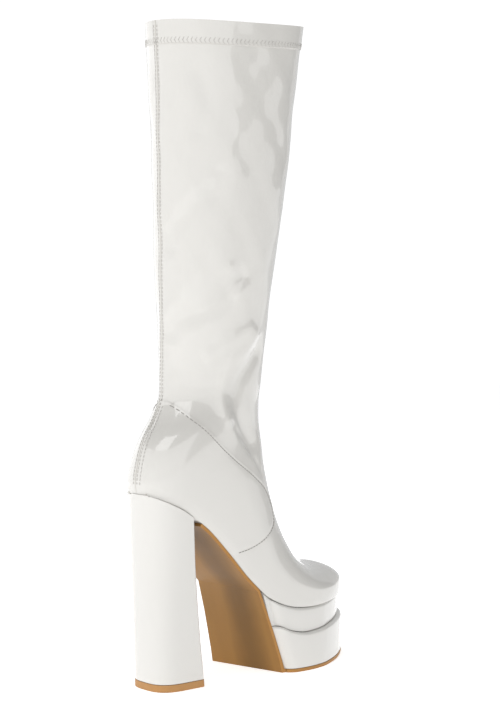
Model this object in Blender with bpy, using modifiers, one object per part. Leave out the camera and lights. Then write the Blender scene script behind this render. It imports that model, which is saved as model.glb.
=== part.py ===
"""Knee-high platform go-go boot in white patent, right foot, as an assembly of its own pieces.

Metres, +Z up, toe towards -Y, outer side of the foot towards -X, standing on the floor at z = 0.
Tables and sizes are in millimetres. A place on the boot is (along, out, z): "along" runs forward from
the back of the heel, "out" runs from the inner to the outer side, and z is the height.
"""

import math

import bmesh
import bpy
import numpy as np
from mathutils import Matrix, Vector

MM = 0.001
WELD = 1e-6

# Where the middle of the standing boot's outline lies, measured forward and outwards
CENTRE_ALONG = 109.8
CENTRE_OUT = 12.4

# Driving sizes
BOOT_HEIGHT = 509.0
WALL = 1.8
GAP = 0.3
HEM_BAND = 18.0
HEM_STEP = 0.5
COLLAR_DIP = 3.0
LASTING_MARGIN = 12.0
INSOLE_THICKNESS = 2.0
INSOLE_GAP = 0.75
INSOLE_INSET = 4.5
INSOLE_ENDS = (5.0, 210.0)
SOLE_THICKNESS = 2.6
TOP_PIECE_THICKNESS = 5.6
QUARTER_STEP = 0.9

# Sections through the upper, from the toe round the foot and up the leg. Each lies in a plane through
# a low or back point and a top or front point. "twist" turns the plane outwards in degrees. "outer"
# and "inner" are the half widths, "feather" the half width of the flat underside, "widest" is where
# between the two points the section is widest, and "low_n" and "top_n" say how square its ends are.
SECTION_COLUMNS = (
    "back_along", "back_out", "back_z", "front_along", "front_out", "front_z",
    "twist", "outer", "inner", "feather", "widest", "low_n", "top_n",
)
SECTIONS = {
    "toe_tip": (217.0, -9.0, 58.5, 217.0, -9.0, 63.0, 0.0, 0.0, 0.0, 0.0, 0.50, 2.0, 2.0),
    "toe_front": (215.8, -9.0, 57.0, 215.3, -9.0, 66.5, 0.0, 10.0, 10.0, 8.0, 0.50, 2.0, 2.0),
    "toe_round": (213.0, -8.5, 56.0, 212.0, -8.5, 69.5, 0.0, 17.5, 17.5, 15.0, 0.48, 2.0, 2.0),
    "toe_cap": (209.0, -8.0, 55.0, 207.5, -8.0, 72.0, 0.0, 24.0, 23.5, 21.0, 0.45, 2.0, 2.0),
    "toe_box": (199.0, -7.0, 53.0, 196.0, -6.5, 76.0, 0.0, 33.0, 32.0, 31.0, 0.42, 2.0, 1.9),
    "vamp_low": (182.0, -4.0, 51.0, 176.5, -3.0, 79.0, 0.0, 40.3, 38.0, 38.5, 0.36, 1.9, 1.8),
    "ball": (163.0, -1.0, 50.0, 158.0, 0.0, 85.5, 0.0, 43.5, 41.0, 42.0, 0.32, 1.9, 1.75),
    "joint": (145.0, 1.0, 50.0, 143.0, 3.0, 98.5, 0.0, 43.0, 41.0, 41.5, 0.30, 1.9, 1.7),
    "vamp_high": (125.0, 3.0, 53.0, 132.5, 5.5, 119.0, 0.0, 41.0, 39.0, 39.5, 0.28, 1.8, 1.65),
    "instep": (105.0, 4.0, 62.0, 125.0, 8.0, 141.0, 0.0, 38.5, 37.0, 36.5, 0.30, 1.8, 1.6),
    "waist": (85.0, 4.5, 80.0, 119.5, 10.0, 160.0, 0.0, 36.0, 35.0, 33.0, 0.36, 1.8, 1.65),
    "waist_high": (65.0, 5.0, 103.0, 115.5, 11.5, 177.0, 0.0, 34.3, 34.0, 30.0, 0.40, 1.8, 1.7),
    "seat_front": (45.0, 5.0, 123.0, 113.5, 13.0, 190.0, 0.0, 32.8, 32.8, 28.5, 0.42, 1.9, 1.8),
    "seat": (25.0, 5.0, 137.0, 112.3, 13.5, 198.5, 0.0, 31.6, 31.6, 26.5, 0.42, 2.0, 1.9),
    "seat_back": (9.0, 5.0, 145.5, 111.8, 14.0, 203.5, 0.4, 30.8, 30.8, 22.3, 0.43, 2.1, 1.95),
    "heel_curve": (2.2, 5.0, 149.0, 111.6, 14.2, 206.5, 0.8, 30.4, 30.4, 15.5, 0.43, 2.3, 2.0),
    "heel_turn": (-0.4, 5.0, 150.3, 111.5, 14.4, 208.3, 1.2, 30.2, 30.2, 8.5, 0.44, 2.5, 2.0),
    "heel_corner": (-1.4, 5.0, 151.2, 111.5, 14.5, 209.8, 1.6, 30.1, 30.1, 0.0, 0.44, 2.6, 2.0),
    "heel_back": (-2.2, 5.3, 158.0, 111.5, 14.8, 212.0, 2.4, 29.9, 29.9, 0.0, 0.45, 2.55, 2.0),
    "counter_low": (-0.8, 6.3, 172.0, 111.5, 15.2, 216.0, 4.2, 29.5, 29.5, 0.0, 0.46, 2.35, 2.0),
    "counter": (6.6, 4.5, 190.0, 111.7, 15.7, 220.5, 6.8, 29.1, 29.1, 0.0, 0.48, 2.1, 2.0),
    "counter_high": (21.0, 0.0, 205.0, 112.2, 16.2, 226.0, 9.6, 29.3, 29.3, 0.0, 0.51, 1.95, 2.0),
    "ankle": (29.6, -3.0, 219.0, 112.7, 16.7, 231.5, 12.0, 30.2, 30.2, 0.0, 0.53, 1.9, 2.0),
    "shin_low": (31.2, -3.5, 240.0, 113.2, 17.5, 243.0, 13.0, 31.7, 31.7, 0.0, 0.53, 1.9, 2.0),
    "shin": (29.0, -1.0, 270.0, 113.7, 20.0, 270.0, 12.5, 34.5, 34.5, 0.0, 0.52, 2.0, 2.05),
    "calf_low": (27.0, 0.8, 303.0, 116.7, 21.5, 303.0, 12.0, 38.0, 38.0, 0.0, 0.51, 2.1, 2.1),
    "calf": (22.5, 4.8, 380.0, 126.5, 24.5, 380.0, 10.5, 43.5, 43.5, 0.0, 0.50, 2.1, 2.1),
    "calf_high": (18.5, 7.3, 458.0, 134.0, 26.5, 458.0, 8.5, 47.2, 47.2, 0.0, 0.50, 2.15, 2.15),
    "collar": (16.3, 8.5, 509.0, 138.9, 28.5, 509.0, 7.0, 50.0, 50.0, 0.0, 0.50, 2.15, 2.15),
}

# Edge of the bottom tier in plan, at its underside, from the back of the platform to the toe.
# Columns: outer_along, outer_out, inner_along, inner_out.
PLATFORM_OUTLINE = {
    "back_middle": (116.5, 6.0, 116.5, 6.0),
    "back": (120.3, 30.0, 112.8, -16.0),
    "back_corner": (122.0, 40.0, 110.5, -30.0),
    "corner_turn": (126.0, 45.0, 111.8, -33.6),
    "corner_end": (133.0, 47.0, 119.0, -39.0),
    "joint": (148.0, 47.5, 138.0, -43.5),
    "ball": (165.0, 44.0, 160.0, -45.0),
    "toe_side": (186.0, 34.5, 183.0, -43.0),
    "toe_corner": (202.0, 23.5, 201.0, -37.0),
    "toe_turn": (213.0, 12.5, 213.0, -28.0),
    "toe_round": (219.5, 2.0, 219.5, -18.0),
    "toe_tip": (222.0, -8.0, 222.0, -8.0),
}

# Back face of the platform under the waist, at its outer edge. Columns: z, along.
PLATFORM_SLOPE = {
    "floor": (3.2, 123.0),
    "low": (12.0, 119.6),
    "middle": (27.0, 113.8),
    "high": (44.0, 107.0),
    "waist": (66.0, 100.0),
}

# Heights of the tread and of the line between the tiers. Columns: along, z.
TREAD_RISE = {"flat": (165.0, 0.0), "ball": (185.0, 0.8), "toe": (226.0, 5.0)}
TIER_LINE = {
    "back": (100.0, 38.0),
    "corner": (115.0, 38.0),
    "side": (123.0, 34.5),
    "joint": (135.0, 31.3),
    "ball": (155.0, 30.7),
    "toe_side": (180.0, 32.8),
    "toe": (226.0, 36.0),
}
TIER_LEDGE = 3.2
TIER_ROUND = 1.6
INNER_SLOPE = 0.55
SLOPE_FADE_END = 165.0
SLOPE_FADE_LENGTH = 43.0
SLOPE_FADE_POWER = 0.8
SLOPE_GAP = 0.5
SLOPE_NORMAL = (0.94, 0.34)
SHANK_START = 39.8
SHANK_END = 95.0
SOLE_LEDGE = 0.4

# Levels down the block heel. "back" and "breast" are its two ends, "square" says how square its back
# corners are. Columns: z, back, breast, middle, half_width, square.
HEEL_LEVELS = {
    "floor": (0.0, 1.6, 45.0, 9.0, 22.4, 2.9),
    "low": (40.0, 0.8, 41.5, 8.4, 22.6, 2.8),
    "middle": (80.0, -0.2, 38.5, 7.6, 23.4, 2.6),
    "high": (112.0, -1.2, 36.5, 6.8, 24.6, 2.5),
    "seat": (150.0, -2.3, 35.0, 6.0, 26.0, 2.4),
}
HEEL_TURN = 4.0
HEEL_SEAT = 150.0
BREAST_SHARE = 0.97
SEAT_GAP = 0.6
BED_GAP = 1.2 * GAP

# Line of the quarter's edge in the side view, from the back seam round its front to the feather edge.
# Columns: along, z.
QUARTER_EDGE = {
    "back": (-20.0, 223.0),
    "back_seam": (28.0, 221.0),
    "ankle": (36.0, 206.5),
    "side_high": (48.0, 193.0),
    "side": (68.0, 176.0),
    "side_low": (90.0, 160.0),
    "front_high": (103.0, 149.5),
    "front": (112.0, 134.0),
    "front_turn": (112.0, 121.5),
    "front_low": (102.0, 111.0),
    "under": (88.0, 103.0),
    "feather": (72.0, 98.5),
}
FEATHER_CLEAR = 1.0
QUARTER_REACH = 90.0

# The zip runs up the inner side. Its slot, its tape and the slider are sized across the zip.
ZIP_BOTTOM = 192.0
ZIP_SLOT = 9.0
SLOT_DEPTH = (-6.0, 4.0)
SLOT_OVERRUN = 5.0
ZIP_TAPE_THICKNESS = 1.0
ZIP_TEETH = (4.4, 0.8)
ZIP_RECESS = 0.7
SLIDER_HEIGHT = 488.0
SLIDER_SIZE = (6.8, 9.6, 1.8)
SLIDER_LIFT = 0.5
SLIDER_ROUND = 1.6
BRIDGE_INSIDE = 2.1
BRIDGE_THICKNESS = 1.0
BRIDGE_WIDTH = 1.8
BRIDGE_FOOT = 0.4
PULL_THICKNESS = 1.2
PULL_LENGTH = 27.0
PULL_HALF_WIDTH = 2.7
PULL_ROUND = 1.5
PULL_EYE = (3.0, 3.2)
EYE_ROUND = 0.5
EYE_CUT = 2.0
PULL_RISE = 1.05

# Finish of each piece: colour, roughness and how metallic it is
FINISHES = {
    "patent": ((0.86, 0.85, 0.82), 0.12, 0.0),
    "tan": ((0.55, 0.30, 0.12), 0.45, 0.0),
    "board": ((0.70, 0.62, 0.50), 0.85, 0.0),
    "metal": ((0.12, 0.12, 0.13), 0.30, 1.0),
    "tape": ((0.80, 0.79, 0.76), 0.80, 0.0),
}

# How finely curves are cut
SIDE_SAMPLES = 90
BED_SAMPLES = 400
HEIGHT_SAMPLES = 80
QUARTER_SAMPLES = (48, 16)
ZIP_LEVELS = 24
HEEL_SAMPLES = 16
HEEL_RINGS = 9
INSOLE_STATIONS = 40
WAIST_STATIONS = 12
ARC_SAMPLES = 13


def place(along, out, z):
    """A place on the boot as a point in metres."""
    return Vector((-(out - CENTRE_OUT) * MM, -(along - CENTRE_ALONG) * MM, z * MM))


def smooth(knots, values, at):
    """A smooth curve through the rows of values, read at the given knots."""
    knots = np.asarray(knots, float)
    values = np.asarray(values, float)
    at = np.asarray(at, float)
    step = np.diff(knots)[:, None]
    slope = np.diff(values, axis=0) / step
    tangent = np.vstack([slope[:1], slope[:1], slope[1:]])
    tangent[1:-1] = (step[1:] * slope[:-1] + step[:-1] * slope[1:]) / (step[1:] + step[:-1])
    first = np.clip(np.searchsorted(knots, at, side="right") - 1, 0, len(knots) - 2)
    t = ((at - knots[first]) / step[first, 0])[:, None]
    reach = step[first]
    start = (1 + 2 * t) * (1 - t) ** 2 * values[first] + t * (1 - t) ** 2 * reach * tangent[first]
    end = t * t * (3 - 2 * t) * values[first + 1] - t * t * (1 - t) * reach * tangent[first + 1]
    return start + end


def table(rows):
    return np.array(list(rows.values()), float)


def read(rows, at):
    """The second and later columns of a table at a value of its first."""
    values = table(rows)
    return smooth(values[:, 0], values[:, 1:], np.clip(at, values[0, 0], values[-1, 0]))


SECTION_VALUES = table(SECTIONS)
SECTION_NAMES = list(SECTIONS)
RUN_NAMES = ("back_along", "back_z", "front_along", "front_z", "outer", "feather")
RUN_COLUMNS = [SECTION_COLUMNS.index(name) for name in RUN_NAMES]
SECTION_KNOTS = np.concatenate([
    [0.0], np.cumsum(np.linalg.norm(np.diff(SECTION_VALUES[:, RUN_COLUMNS], axis=0), axis=1)),
])


def knot_of(name):
    return SECTION_KNOTS[SECTION_NAMES.index(name)]


def sections_at(knots):
    """The section table read at these places along the boot, as a dictionary of columns."""
    values = smooth(SECTION_KNOTS, SECTION_VALUES, knots)
    columns = {name: values[:, i] for i, name in enumerate(SECTION_COLUMNS)}
    for name in ("outer", "inner", "feather"):
        columns[name] = np.maximum(columns[name], 0.0)
    return columns


def side_line(width, feather, length, widest, low_n, top_n, count):
    """One side of a section from the feather edge to the top, in equal steps: (across, share of length)."""
    turn = np.linspace(0.0, math.pi / 2, SIDE_SAMPLES)
    low_across = feather + (width - feather) * np.sin(turn) ** (2 / low_n)
    low_share = widest * (1 - np.cos(turn) ** (2 / low_n))
    top_across = width * np.cos(turn) ** (2 / top_n)
    top_share = widest + (1 - widest) * np.sin(turn) ** (2 / top_n)
    across = np.concatenate([low_across, top_across[1:]])
    share = np.concatenate([low_share, top_share[1:]])
    run = np.concatenate([[0.0], np.cumsum(np.hypot(np.diff(across), np.diff(share) * length))])
    at = np.linspace(0.0, run[-1], count)
    return np.interp(at, run, across), np.interp(at, run, share)


def upper_grid(knots, side_count):
    """Rows of points round the upper, (rows, columns, 3), from the outer lasting margin over the top."""
    rows = sections_at(knots)
    grid = []
    for i in range(len(knots)):
        row = {name: values[i] for name, values in rows.items()}
        low = np.array([row["back_along"], row["back_out"], row["back_z"]])
        top = np.array([row["front_along"], row["front_out"], row["front_z"]])
        turn = math.radians(row["twist"])
        across = np.array([-math.sin(turn), math.cos(turn), 0.0])
        length = np.linalg.norm(top - low)
        halves = []
        for side, width in ((1, row["outer"]), (-1, row["inner"])):
            feather = min(row["feather"], width)
            reach, share = side_line(
                width, feather, length, row["widest"], row["low_n"], row["top_n"], side_count,
            )
            reach = np.concatenate([[max(reach[0] - LASTING_MARGIN, 0.0)], reach])
            share = np.concatenate([[0.0], share])
            halves.append(low + share[:, None] * (top - low) + side * reach[:, None] * across)
        line = np.vstack([halves[0], halves[1][-2::-1]])
        rise = np.clip((knots[i] - knot_of("calf")) / (SECTION_KNOTS[-1] - knot_of("calf")), 0.0, 1.0)
        outward = np.clip((line - (low + top) / 2) @ across / max(row["outer"], 1.0), 0.0, 1.0)
        line[:, 2] -= COLLAR_DIP * rise**2 * outward**2
        grid.append(line)
    return np.array(grid)


def grid_normals(grid):
    """Outward normals of a grid of points."""
    along = np.gradient(grid, axis=0)
    around = np.gradient(grid, axis=1)
    normal = np.cross(along, around)
    size = np.linalg.norm(normal, axis=2, keepdims=True)
    return normal / np.maximum(size, 1e-9)


def new_material(name, finish):
    colour, roughness, metallic = FINISHES[finish]
    material = bpy.data.materials.new(name)
    material.use_nodes = True
    inputs = material.node_tree.nodes["Principled BSDF"].inputs
    inputs["Base Color"].default_value = (*colour, 1.0)
    inputs["Roughness"].default_value = roughness
    inputs["Metallic"].default_value = metallic
    return material


def mesh_object(name, points, faces, finish, collection, closed=True):
    """A mesh from millimetre places, with its own material. An open one keeps its faces as they turn."""
    mesh = bpy.data.meshes.new(name)
    mesh.from_pydata([place(*p) for p in points], [], faces)
    work = bmesh.new()
    work.from_mesh(mesh)
    bmesh.ops.remove_doubles(work, verts=work.verts, dist=WELD)
    bmesh.ops.dissolve_degenerate(work, edges=work.edges, dist=WELD)
    if closed:
        bmesh.ops.recalc_face_normals(work, faces=work.faces)
    work.to_mesh(mesh)
    work.free()
    obj = bpy.data.objects.new(name, mesh)
    collection.objects.link(obj)
    mesh.materials.append(new_material(name, finish))
    return obj


def grid_faces(grid):
    """Triangles of a grid of points, each four-sided cell cut along its shorter diagonal."""
    row_count, column_count = grid.shape[:2]
    points = grid.reshape(-1, 3)
    faces = []
    for i in range(row_count - 1):
        for j in range(column_count - 1):
            a = i * column_count + j
            b, c, d = a + 1, a + column_count + 1, a + column_count
            if np.linalg.norm(points[a] - points[c]) < np.linalg.norm(points[b] - points[d]):
                faces.extend([(a, b, c), (a, c, d)])
            else:
                faces.extend([(a, b, d), (b, c, d)])
    return faces


def ring_solid(name, rings, finish, collection):
    """A solid between stacked rings. A ring is two lines of points, outer and inner, paired one to one."""
    count = len(rings[0][0])
    around = 2 * count
    points = []
    for outer, inner in rings:
        points.extend(outer)
        points.extend(inner[::-1])
    faces = []
    for level in range(len(rings) - 1):
        for j in range(around):
            a = level * around + j
            b = level * around + (j + 1) % around
            faces.append((a, b, b + around, a + around))
    for start in (0, (len(rings) - 1) * around):
        for j in range(count - 1):
            faces.append((start + j, start + j + 1, start + around - 2 - j, start + around - 1 - j))
    return mesh_object(name, points, faces, finish, collection)


def new_collection(name):
    collection = bpy.data.collections.new(name)
    bpy.context.scene.collection.children.link(collection)
    return collection


def add_boolean(obj, other, operation):
    modifier = obj.modifiers.new(operation.lower(), "BOOLEAN")
    modifier.operation = operation
    modifier.solver = "EXACT"
    modifier.object = other


def as_helper(obj):
    obj.hide_render = True
    obj.display_type = "WIRE"
    return obj


UPPER_KNOTS = np.concatenate([
    SECTION_KNOTS[0] + (knot_of("toe_box") - SECTION_KNOTS[0]) * np.linspace(0.0, 1.0, 9),
    np.linspace(knot_of("toe_box"), knot_of("seat_front"), 13)[1:],
    np.linspace(knot_of("seat_front"), knot_of("seat_back"), 6)[1:],
    np.linspace(knot_of("seat_back"), knot_of("heel_corner"), 9)[1:],
    np.linspace(knot_of("heel_corner"), knot_of("ankle"), 10)[1:],
    np.linspace(knot_of("ankle"), SECTION_KNOTS[-1], 10)[1:],
])
SIDE_COLUMNS = 17


def build_upper(collection):
    hem_knot = np.interp(BOOT_HEIGHT - HEM_BAND, SECTION_VALUES[-4:, 2], SECTION_KNOTS[-4:])
    knots = np.sort(np.concatenate([UPPER_KNOTS, [hem_knot, hem_knot + 0.3]]))
    grid = upper_grid(knots, SIDE_COLUMNS)
    normals = grid_normals(grid)
    raised = (knots > hem_knot + 0.1)[:, None, None]
    grid = grid + raised * HEM_STEP * normals
    points = grid.reshape(-1, 3)
    upper = mesh_object("upper", points, grid_faces(grid), "patent", collection, closed=False)
    wall = upper.modifiers.new("wall", "SOLIDIFY")
    wall.thickness = WALL * MM
    wall.offset = -1.0
    return upper


def quarter_prism(collection):
    """The quarter's outline in the side view, carried right across the boot."""
    edge = table(QUARTER_EDGE)
    run = np.concatenate([[0.0], np.cumsum(np.linalg.norm(np.diff(edge, axis=0), axis=1))])
    front = smooth(run, edge, np.linspace(run[0], run[-1], QUARTER_SAMPLES[0]))
    under = np.linspace(edge[-1, 0] - 4.0, -1.0, QUARTER_SAMPLES[1])
    under = np.stack([under, bed_height(under) + FEATHER_CLEAR], axis=1)
    outline = np.vstack([front, under, [[edge[0, 0], under[-1, 1]]]])
    sides = []
    for out in (-QUARTER_REACH, QUARTER_REACH):
        sides.append(np.stack([outline[:, 0], np.full(len(outline), out), outline[:, 1]], axis=1))
    count = len(outline)
    faces = [tuple(range(count)), tuple(range(count, 2 * count))[::-1]]
    for j in range(count):
        k = (j + 1) % count
        faces.append((j, k, count + k, count + j))
    return as_helper(mesh_object("quarter_prism", np.vstack(sides), faces, "patent", collection))


def add_quarter(upper, cutters):
    """The quarter and counter as one raised step in the upper's wall."""
    knots = UPPER_KNOTS[(UPPER_KNOTS > knot_of("joint")) & (UPPER_KNOTS < knot_of("shin"))]
    grid = upper_grid(knots, SIDE_COLUMNS)[:, 1:-1]
    grid = grid + QUARTER_STEP * grid_normals(grid)
    points = grid.reshape(-1, 3)
    quarter = mesh_object("quarter", points, grid_faces(grid), "patent", cutters, closed=False)
    wall = quarter.modifiers.new("wall", "SOLIDIFY")
    wall.thickness = 2 * QUARTER_STEP * MM
    wall.offset = -1.0
    add_boolean(quarter, quarter_prism(cutters), "INTERSECT")
    add_boolean(upper, as_helper(quarter), "UNION")


def zip_line(heights):
    """Where the zip's middle lies on the upper's inner side, as rows of (along, out, z)."""
    grid = upper_grid(np.linspace(knot_of("counter_low"), SECTION_KNOTS[-1], 80), 60)
    edge = np.array([row[np.argmin(row[:, 1])] for row in grid])
    order = np.argsort(edge[:, 2])
    edge = edge[order]
    along = np.polyval(np.polyfit(edge[:, 2], edge[:, 0], 3), heights)
    return np.stack([along, np.interp(heights, edge[:, 2], edge[:, 1]), heights], axis=1)


def zip_strip(name, outline, low, high, finish, collection):
    """A strip up the zip with one cross-section, given as (forward, outwards from the leather)."""
    line = zip_line(np.linspace(low, high, ZIP_LEVELS))
    count = len(outline)
    points = [(row[0] + forward, row[1] - rise, row[2]) for row in line for forward, rise in outline]
    faces = [tuple(range(count)), tuple(range(len(points) - count, len(points)))[::-1]]
    for i in range(len(line) - 1):
        for j in range(count):
            a = i * count + j
            b = i * count + (j + 1) % count
            faces.append((a, b, b + count, a + count))
    return mesh_object(name, points, faces, finish, collection)


def build_zip(collection, cutters):
    half = ZIP_SLOT / 2
    deep, high = SLOT_DEPTH
    outline = [(-half, deep), (half, deep), (half, high), (-half, high)]
    slot = zip_strip("zip_slot", outline, ZIP_BOTTOM, BOOT_HEIGHT + SLOT_OVERRUN, "tape", cutters)
    side = half - GAP
    back = -ZIP_RECESS - ZIP_TAPE_THICKNESS
    tooth, rise = ZIP_TEETH[0] / 2, ZIP_TEETH[1] - ZIP_RECESS
    outline = [
        (-side, back), (side, back), (side, -ZIP_RECESS), (tooth, -ZIP_RECESS),
        (tooth, rise), (-tooth, rise), (-tooth, -ZIP_RECESS), (-side, -ZIP_RECESS),
    ]
    zip_strip("zip_tape", outline, ZIP_BOTTOM + GAP, BOOT_HEIGHT - 1.0, "tape", collection)
    return as_helper(slot)


def extruded(name, outline, low, high, to_place, finish, collection):
    """A flat outline given thickness, with each corner sent through to_place(a, b, level)."""
    count = len(outline)
    points = [to_place(a, b, level) for level in (low, high) for a, b in outline]
    faces = [tuple(range(count)), tuple(range(count, 2 * count))[::-1]]
    for j in range(count):
        k = (j + 1) % count
        faces.append((j, k, count + k, count + j))
    return mesh_object(name, points, faces, finish, collection)


def rounded_outline(half_width, low, high, radius, steps=5):
    """A rectangle with round corners, from low to high."""
    outline = []
    corners = ((half_width, high, 0), (-half_width, high, 1), (-half_width, low, 2), (half_width, low, 3))
    for x, y, quarter in corners:
        centre = (x - math.copysign(radius, x), y - (radius if y == high else -radius))
        for k in range(steps + 1):
            turn = math.pi / 2 * (quarter + k / steps)
            outline.append((centre[0] + radius * math.cos(turn), centre[1] + radius * math.sin(turn)))
    return outline


def build_slider(collection, cutters):
    middle = zip_line([SLIDER_HEIGHT])[0]
    width, length, thickness = SLIDER_SIZE
    face = SLIDER_LIFT + thickness

    def flat(forward, up, rise):
        return (middle[0] + forward, middle[1] - rise, middle[2] + up)

    def upright(rise, up, forward):
        return (middle[0] + forward, middle[1] - rise, middle[2] + up)

    body = rounded_outline(width / 2, -length / 2, length / 2, SLIDER_ROUND)
    slider = extruded("zip_slider", body, SLIDER_LIFT, face, flat, "metal", collection)
    outside = BRIDGE_INSIDE + BRIDGE_THICKNESS
    foot = face - BRIDGE_FOOT
    turns = np.linspace(-math.pi / 2, math.pi / 2, ARC_SAMPLES)
    arc = [(face + outside * math.cos(t), outside * math.sin(t)) for t in turns]
    arc = [(foot, -outside)] + arc + [(foot, outside), (foot, BRIDGE_INSIDE)]
    arc += [(face + BRIDGE_INSIDE * math.cos(t), BRIDGE_INSIDE * math.sin(t)) for t in turns[::-1]]
    arc.append((foot, -BRIDGE_INSIDE))
    half = BRIDGE_WIDTH / 2
    bridge = extruded("slider_bridge", arc, -half, half, upright, "metal", cutters)
    add_boolean(slider, as_helper(bridge), "UNION")

    hinge = flat(0.0, 0.0, face + PULL_RISE)
    half = PULL_THICKNESS / 2
    tab = rounded_outline(PULL_HALF_WIDTH, half - PULL_LENGTH, half, PULL_ROUND)
    eye = rounded_outline(PULL_EYE[0] / 2, -half - PULL_EYE[1], -half, EYE_ROUND)

    def on_hinge(forward, up, rise):
        return (hinge[0] + forward, hinge[1] - rise, hinge[2] + up)

    pull = extruded("zip_pull", tab, -half, half, on_hinge, "metal", collection)
    hole = extruded("pull_eye", eye, -EYE_CUT, EYE_CUT, on_hinge, "metal", cutters)
    add_boolean(pull, as_helper(hole), "DIFFERENCE")
    origin = place(*hinge)
    pull.data.transform(Matrix.Translation(-origin))
    pull.location = origin


def offset_line(line, distance):
    """A line in the side view moved square to itself, up for a positive distance."""
    direction = np.gradient(line, axis=0)
    direction /= np.linalg.norm(direction, axis=1, keepdims=True)
    return line + distance * np.stack([-direction[:, 1], direction[:, 0]], axis=1)


def build_insole(collection):
    bed = sections_along(np.linspace(*INSOLE_ENDS, INSOLE_STATIONS))
    line = np.stack([bed["back_along"], bed["back_z"]], axis=1)
    reach = bed["feather"] - INSOLE_INSET
    rings = []
    for lift in (WALL + INSOLE_GAP, WALL + INSOLE_GAP + INSOLE_THICKNESS):
        moved = offset_line(line, lift)
        outer = np.stack([moved[:, 0], bed["back_out"] + reach, moved[:, 1]], axis=1)
        inner = np.stack([moved[:, 0], bed["back_out"] - reach, moved[:, 1]], axis=1)
        rings.append((outer, inner))
    return ring_solid("insole", rings, "board", collection)


def sections_along(along):
    """The section columns where the underside is this far forward."""
    knots = np.linspace(knot_of("toe_front"), knot_of("heel_corner"), BED_SAMPLES)
    forward = smooth(SECTION_KNOTS, SECTION_VALUES[:, :1], knots)[:, 0]
    return sections_at(np.interp(-np.asarray(along), -forward, knots))


def bed_height(along):
    """Height of the line under the foot, from the back of the heel seat to the toe."""
    bed = sections_at(np.linspace(knot_of("heel_corner"), knot_of("toe_front"), HEIGHT_SAMPLES))
    order = np.argsort(bed["back_along"])
    return np.interp(along, bed["back_along"][order], bed["back_z"][order])


PLATFORM_KNOTS = np.arange(len(PLATFORM_OUTLINE))
PLATFORM_STATIONS = 34
BACK_STATIONS = 7


def platform_ring(inset, height, count=PLATFORM_STATIONS):
    """Outer and inner edge of the platform, moved in by inset, with heights from height(along)."""
    stations = np.linspace(0, PLATFORM_KNOTS[-1], count)
    values = smooth(PLATFORM_KNOTS, table(PLATFORM_OUTLINE), stations)
    outer, inner = values[:, :2], values[:, 2:]
    loop = np.vstack([outer, inner[-2:0:-1]])
    direction = np.roll(loop, -1, axis=0) - np.roll(loop, 1, axis=0)
    direction /= np.maximum(np.linalg.norm(direction, axis=1, keepdims=True), 1e-9)
    inward = np.stack([direction[:, 1], -direction[:, 0]], axis=1)
    inward[:BACK_STATIONS, 0] = 0.0
    inward[len(loop) - BACK_STATIONS + 1:, 0] = 0.0
    loop = loop + inset * inward
    outer = loop[:count]
    inner = np.vstack([loop[:1], loop[:count - 2:-1]])
    slope = table(PLATFORM_SLOPE)
    lines = []
    corner = BACK_STATIONS - 1
    for line in (outer, inner):
        share = np.interp(line[:, 1], [inner[corner, 1], outer[corner, 1]], [INNER_SLOPE, 1.0])
        z = height(line[:, 0])
        for _ in range(4):
            back = share * (np.interp(z, slope[:, 0], slope[:, 1]) - slope[0, 1])
            fade = np.clip((SLOPE_FADE_END - line[:, 0]) / SLOPE_FADE_LENGTH, 0.0, 1.0)
            moved = line[:, 0] + back * fade**SLOPE_FADE_POWER
            z = height(moved)
        lines.append(np.stack([moved, line[:, 1], z], axis=1))
    return tuple(lines)


def tread_height(along):
    return read(TREAD_RISE, along)[:, 0]


def tier_height(along):
    return read(TIER_LINE, along)[:, 0]


def build_tier(name, inset, low, high, collection):
    rings = []
    edges = (
        (0.0, TIER_ROUND, 0.0), (0.0, 0.0, TIER_ROUND),
        (1.0, 0.0, -TIER_ROUND), (1.0, TIER_ROUND, 0.0),
    )
    for share, extra, lift in edges:
        def height(along, share=share, lift=lift):
            return low(along) * (1 - share) + high(along) * share + lift
        rings.append(platform_ring(inset + extra, height))
    return ring_solid(name, rings, "patent", collection)


def build_heel(name, z_low, z_high, collection, finish, seat=False):
    levels = table(HEEL_LEVELS)
    turn = np.linspace(0.0, math.pi / 2, HEEL_SAMPLES)
    turn_out = math.sin(math.radians(HEEL_TURN))
    rings = []
    for share in np.linspace(0.0, 1.0, HEEL_RINGS if seat else 2):
        z = z_low + (z_high - z_low) * share
        back, breast, middle, half, square = smooth(levels[:, 0], levels[:, 1:], [z])[0]
        along = np.append(back + half * (1 - np.cos(turn) ** (2 / square)), breast)
        reach = np.append(half * np.sin(turn) ** (2 / square), half * BREAST_SHARE)
        sides = []
        for side in (1, -1):
            forward = along - side * reach * turn_out
            sideways = middle + side * reach + along * turn_out
            top = bed_height(forward) - SEAT_GAP if seat else np.full(len(along), z_high)
            sides.append(np.stack([forward, sideways, z_low + share * (top - z_low)], axis=1))
        rings.append(tuple(sides))
    return ring_solid(name, rings, finish, collection)


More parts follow.
